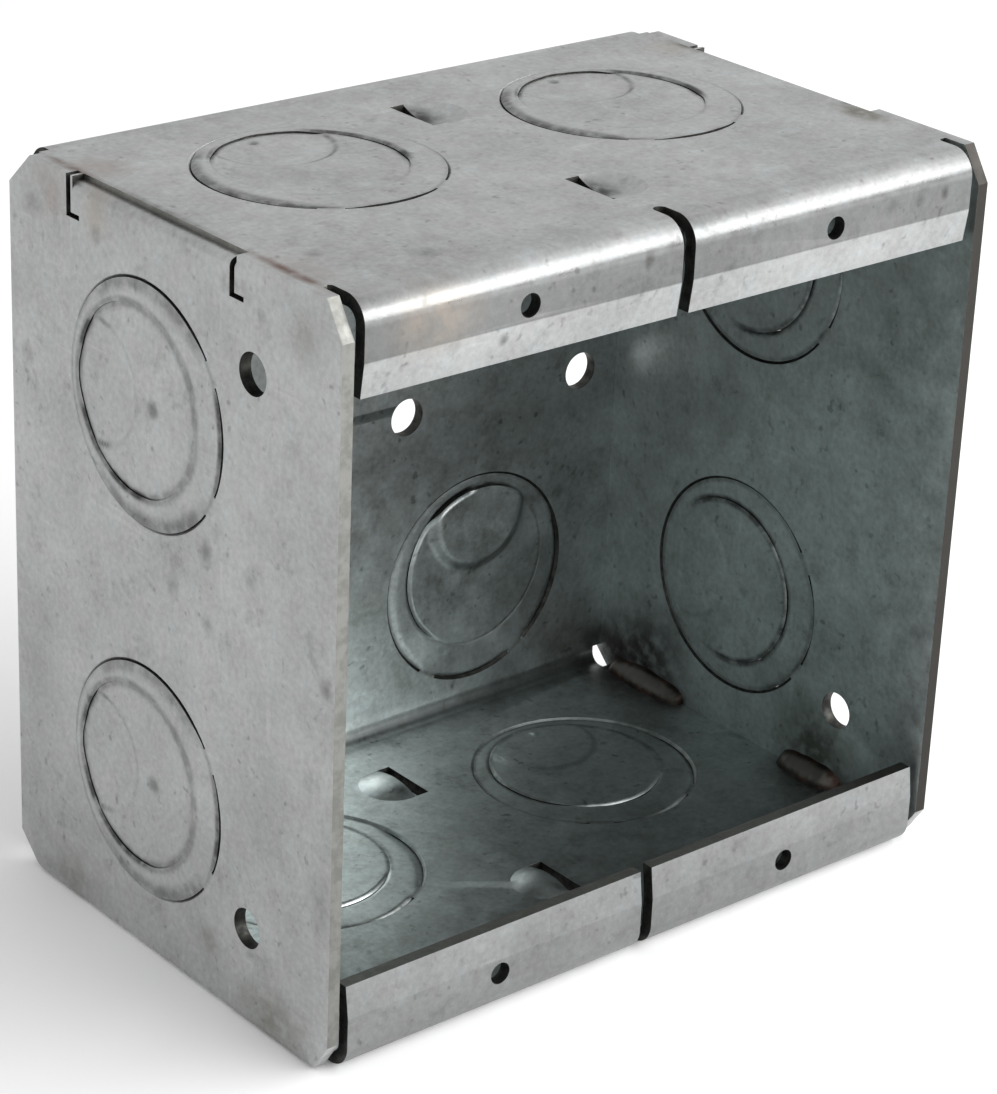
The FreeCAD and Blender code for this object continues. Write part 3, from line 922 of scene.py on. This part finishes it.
INNER_PAINTED_SHADE = [
    # painted shade on the back wall upwards from its foot, near its top, and to the right; then in its lower bend,
    # which is also rougher
    (((Y, BACK - 4, BACK - 2), (Z, 12, 42)), 0.36, 0.0),
    (((Y, BACK - 4, BACK - 2), (Z, 50, 75)), 0.80, 0.0),
    (((Y, BACK - 4, BACK - 2), (X, 0, 30)), 0.75, 0.0),
    (((Y, BACK - 2.8, BACK - 2.2), (Z, 3.2, 2.4)), 0.4, -0.1),
    # painted shade on the bottom panel to the right and to the front
    (((Z, 4, 2.5), (X, -18, 5)), 0.70, 0.0),
    (((Z, 4, 2.5), (Y, -6, -24)), 0.75, 0.0),
]

# Stains, and painted highlights and shadows among them: (middle, reach, how much each axis is squashed, colour,
# strength)
SEAM_STAINS_AND_SHADE = [
    ((-SEAM, 21, TOP), 8.0, (7, 0.9, 1), BROWN, 1.0),
    # painted shade: the dark band along the left seam between its welds
    ((-SEAM, 3, TOP), 17, (13, 1, 1), SOOT_AND_SHADE, 0.6),
    ((-SEAM, -20.5, TOP), 11, (9, 1, 1), RUST, 1.0),
]
WRAP_STAINS_AND_PAINTED_LIGHT = SEAM_STAINS_AND_SHADE + [
    ((-44, 19.5, TOP), 6.5, (1.3, 1, 1), PINK, 0.55),
    ((-44.6, -20, TOP), 7.5, (2, 1, 1), PINK, 0.4),
    ((-41.3, -17.1, TOP), 1.6, (1, 1, 1), SOOT_AND_SHADE, 0.45),
    ((-30.8, -24, TOP), 2.2, (0.7, 1, 1), SOOT_AND_SHADE, 0.3),
    ((SEAM, 20, TOP), 5, (3, 1, 1), SOOT_AND_SHADE, 0.8),
    ((SEAM - 1.5, -13, TOP), 6.5, (2, 1, 1), OLIVE, 0.85),
    ((SEAM, -9.3, TOP), 1.4, (1, 1, 1), SOOT_AND_SHADE, 0.8),
    ((44, 20.8, TOP), 5, (1, 1, 1), TAN, 0.35),
    # a beige tint on the upper flange's left end, which also paints the highlight on the bend there
    ((-36, FRONT, TOP - 4), 9, (1, 1, 1.6), TAN, 0.5),
    ((-6, FRONT, TOP - 3.4), 1.7, (1.6, 1, 1), SOOT_AND_SHADE, 0.9),
    ((41, FRONT, TOP - 4.2), 1.3, (1.4, 1, 1), SOOT_AND_SHADE, 0.7),
    ((36.8, FRONT, TOP - 4.3), 1.3, (1, 1, 1), SOOT_AND_SHADE, 0.45),
    ((32.2, FRONT, TOP - 4.1), 1.3, (1, 1, 1), SOOT_AND_SHADE, 0.3),
    # the dimple in the upper flange, painted as a dark spot: painted shade
    ((-26.5, FRONT, TOP - 8.4), 1.1, (1, 1, 1), SOOT_AND_SHADE, 0.8),
    # painted shadows in the hollows of the partition holders in the top panel
    ((0.4, 16.6, TOP - 0.6), 3.6, (1, 0.8, 1), PAINTED_SHADOW, 1.0),
    ((0.4, -15.8, TOP - 0.6), 3.6, (1, 0.8, 1), PAINTED_SHADOW, 1.0),
]
PLATE_STAINS_AND_SHADE = SEAM_STAINS_AND_SHADE + [
    ((-SIDE, 23, TOP - 3), 5, (1, 1, 1), PINK, 0.5),
    ((-SIDE, 14, TOP - 2), 4, (1, 1, 0.6), TAN, 0.5),
    ((-SIDE, 13.9, 88), 1.8, (1, 1, 1), SOOT_AND_SHADE, 0.35),
    ((-SIDE, 27, 88.4), 2.6, (1, 0.8, 1), SOOT_AND_SHADE, 0.25),
    ((-SIDE, 28.2, 69.5), 2.2, (1, 1, 1), SOOT_AND_SHADE, 0.3),
    ((-SIDE, -25, 88), 4, (1, 1, 1), OLIVE, 0.25),
    ((-SIDE, -7.7, 57), 1.8, (1, 1, 0.7), SOOT_AND_SHADE, 0.5),
    ((-SIDE, -1.3, 50.5), 1.6, (1, 1, 0.7), SOOT_AND_SHADE, 0.35),
    ((-SIDE, -16, 56.8), 1.8, (1, 1, 1), SOOT_AND_SHADE, 0.3),
    ((-SIDE, -8, 48.1), 1.8, (1, 1, 1), SOOT_AND_SHADE, 0.35),
    ((-SIDE, -30.2, 49), 1.8, (1, 1, 1), SOOT_AND_SHADE, 0.45),
    ((-SIDE, 20, 2.5), 6, (1, 1, 1), OLIVE, 0.4),
    ((-SIDE, -8.9, 7.5), 3, (1, 1, 1), OLIVE, 0.35),
    ((-SIDE, -21, 3), 10, (1, 1, 1.5), OLIVE, 0.45),
    ((-SIDE, -30, 22), 4, (1, 1, 0.7), SOOT_AND_SHADE, 0.3),
]
WELD_STAINS = [patch for end in (-SEAM, SEAM) for patch in (
    ((end, 20.5, 5.5), 13, (1.4, 1, 1), HEAT, 0.95),
    ((end, 27, 4), 7, (1, 1, 1), HEAT, 0.9),
    ((end, -13, 5), 11, (1.4, 1, 1), SCORCH, 0.85),
)]
# Painted light at the partition holders in the bottom panel: a glint beside each, and shadow at its slot
HOLDER_GLINTS_AND_SHADOWS = [patch for middle in HOLDERS_MM for patch in (
    ((-3.2, middle + 1.0, ON_FLOOR), 3.0, (1, 1, 1), PAINTED_GLINT, 0.65),
    ((-1.0, middle - 2.6, ON_FLOOR), 1.7, (1, 1, 1), PAINTED_SHADOW, 0.7),
)]


# ---------------------------------------------------------------- assembly


def ring_outlines(knockouts, on_plates):
    """Where the rings' outlines show on the sheet of the end plates, or of the wrap."""
    return [(knockout["axis"], tuple(c / MM for c in knockout["centre"]), RING_RADIUS / MM,
             OUTLINE_WIDTH) for knockout in knockouts if (knockout["axis"] == X) == on_plates]


def main():
    """Build the materials, the pieces and the studio."""
    knockouts = find_knockouts()
    wrap_lines = ring_outlines(knockouts, False)
    plate_lines = ring_outlines(knockouts, True)
    wrap_out = galvanised("wrap_outside", ZINC, 0.5, 0.22, wrap_lines, 0.3, OUTER_PAINTED_LIGHT,
                          WRAP_STAINS_AND_PAINTED_LIGHT)
    wrap_in = galvanised("wrap_inside", INNER_ZINC_PAINTED_LIGHT, 0.38, 0.34, wrap_lines, 0.75, INNER_PAINTED_SHADE,
                         WELD_STAINS + HOLDER_GLINTS_AND_SHADOWS)
    plate_out = galvanised("plate_outside", ZINC, 0.5, 0.22, plate_lines, 0.3, [], PLATE_STAINS_AND_SHADE)
    plate_in = galvanised("plate_inside", PLATE_INNER_ZINC_PAINTED_LIGHT, 0.42, 0.3, plate_lines, 0.6, [], WELD_STAINS)
    edge, shaded_metal = cut_edge(), shaded_shear_edge()
    wrap_set = [wrap_out, wrap_in, edge, shaded_metal]
    plate_set = [plate_out, plate_in, edge, shaded_metal]

    make_sheet("body_wrap", "box", wrap_slot, knockouts, wrap_set)
    weld = weld_metal()
    for name in ("left", "right"):
        make_sheet(name + "_end_plate", "box", plate_slot, knockouts, plate_set)
        make_welds(name + "_seam_welds", [weld])
    for knockout in knockouts:
        chosen = plate_set if knockout["axis"] == X else wrap_set
        make_ring(knockout, chosen)
        make_disc(knockout, chosen)

    add_floor()
    add_world(WORLD_SEEN, WORLD_CAST)
    add_light("key", LIGHT_FROM, LIGHT_AWAY, LIGHT_SIZE, LIGHT_WATTS)
    add_camera()
    bpy.context.scene.view_settings.view_transform = "Standard"


main()
